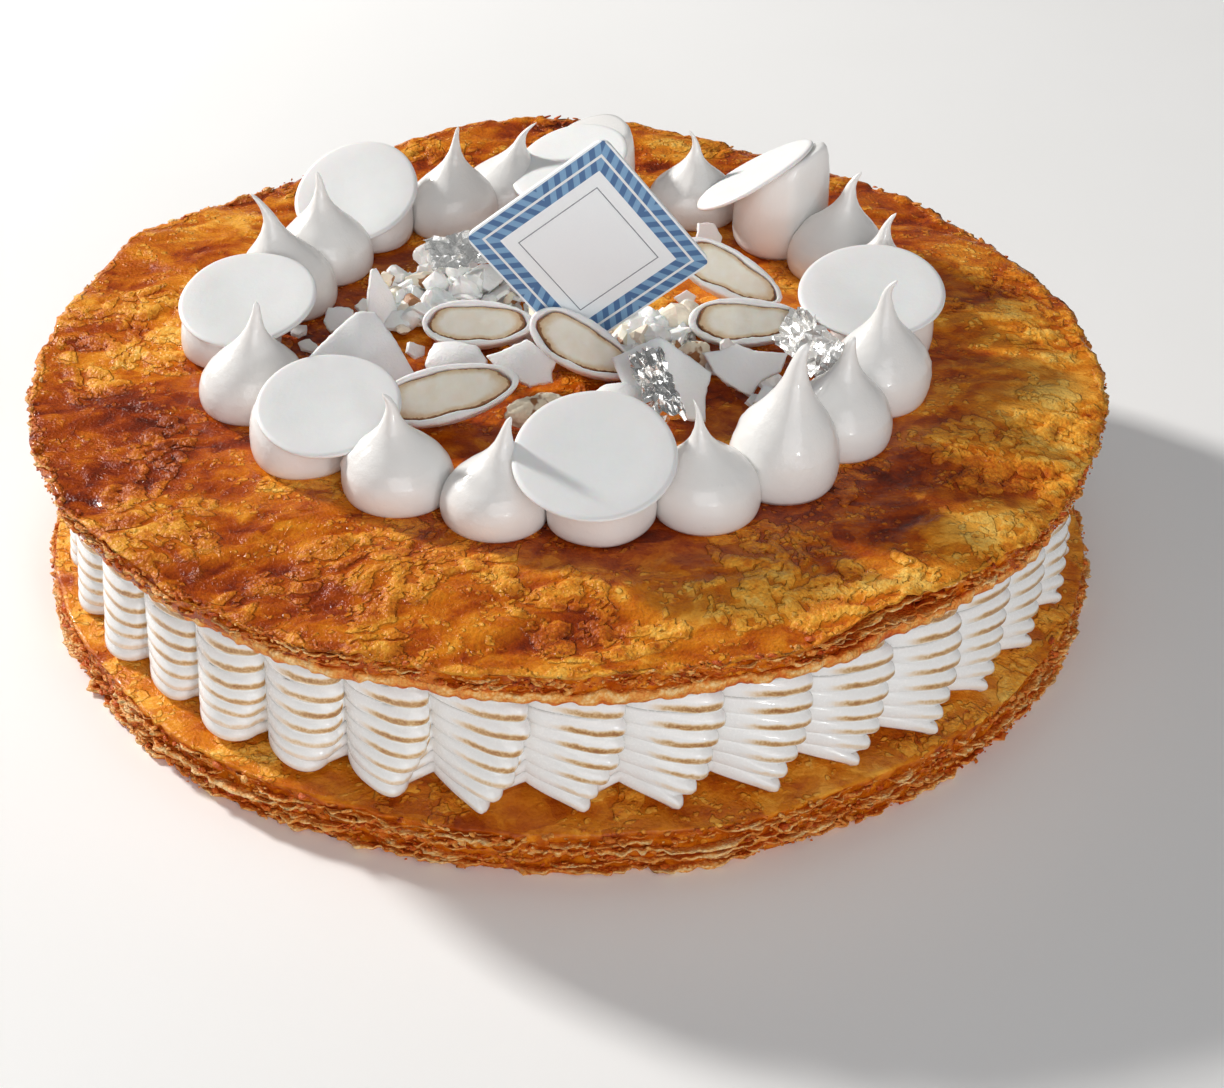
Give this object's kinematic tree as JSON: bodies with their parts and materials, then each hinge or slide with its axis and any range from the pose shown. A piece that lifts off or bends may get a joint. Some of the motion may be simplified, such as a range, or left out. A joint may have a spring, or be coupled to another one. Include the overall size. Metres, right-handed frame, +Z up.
{
  "type": "galette des rois",
  "caption": "Round galette des rois: flaky browned pastry above and below a ribbed piped meringue layer, topped with a ring of meringue kisses and discs, split sugared almonds and a card.",
  "frame": {"origin": "middle of the footprint, on the surface that the cake rests on", "axes": "+Z up through the layers; the front, from which the card faces the viewer, is towards -Y"},
  "size_m": [0.2308, 0.234, 0.0993],
  "materials": {
    "bottom_crust": "baked and glossy, flaky at the side",
    "top_crust": "caramelised and glossy, with paler blisters",
    "piped_meringue": "satin white, ribs lightly torched",
    "meringue_kiss": "smooth satin white",
    "meringue_disc": "fine grained white",
    "sugar_shell": "smooth white sugar",
    "almond": "cream kernel with a thin brown skin",
    "crumbs": "rough white and cream crumbs",
    "silver_leaf": "crumpled bright foil",
    "card": "matt white with a printed border of two blues"
  },
  "bodies": {
    "root": {"bottom_pastry": "bottom_crust", "meringue_filling": "piped_meringue", "top_pastry": "top_crust", "almond_sugar_1": "sugar_shell", "almond_kernel_1": "almond", "almond_sugar_2": "sugar_shell", "almond_kernel_2": "almond", "almond_sugar_3": "sugar_shell", "almond_kernel_3": "almond", "almond_sugar_4": "sugar_shell", "almond_kernel_4": "almond", "almond_sugar_5": "sugar_shell", "almond_kernel_5": "almond", "card": "card", "disc_1": "meringue_disc", "disc_2": "meringue_disc", "disc_3": "meringue_disc", "disc_4": "meringue_disc", "disc_5": "meringue_disc", "disc_6": "meringue_disc", "disc_7": "meringue_disc", "silver_leaf_1": "silver_leaf", "silver_leaf_2": "silver_leaf", "silver_leaf_3": "silver_leaf", "sugar_shard_1": "sugar_shell", "sugar_shard_2": "sugar_shell", "sugar_shard_3": "sugar_shell", "sugar_shard_4": "sugar_shell", "sugar_shard_5": "sugar_shell", "sugar_shard_6": "sugar_shell", "sugar_shard_7": "sugar_shell", "sugar_shard_8": "sugar_shell", "sugar_shard_9": "sugar_shell", "sugar_shard_10": "sugar_shell", "almond_fragment_1": "almond", "almond_fragment_2": "almond", "kiss_01": "meringue_kiss", "kiss_02": "meringue_kiss", "kiss_03": "meringue_kiss", "kiss_04": "meringue_kiss", "kiss_05": "meringue_kiss", "kiss_06": "meringue_kiss", "kiss_07": "meringue_kiss", "kiss_08": "meringue_kiss", "kiss_09": "meringue_kiss", "kiss_10": "meringue_kiss", "kiss_11": "meringue_kiss", "kiss_12": "meringue_kiss", "kiss_13": "meringue_kiss", "kiss_14": "meringue_kiss", "flat_kiss_1": "meringue_kiss", "flat_kiss_2": "meringue_kiss", "flat_kiss_3": "meringue_kiss", "flat_kiss_4": "meringue_kiss", "flat_kiss_5": "meringue_kiss", "flat_kiss_6": "meringue_kiss", "flat_kiss_7": "meringue_kiss", "crumb_heap_left": "crumbs", "crumb_heap_middle": "crumbs", "crumb_heap_right": "crumbs"}
  },
  "joints": []
}
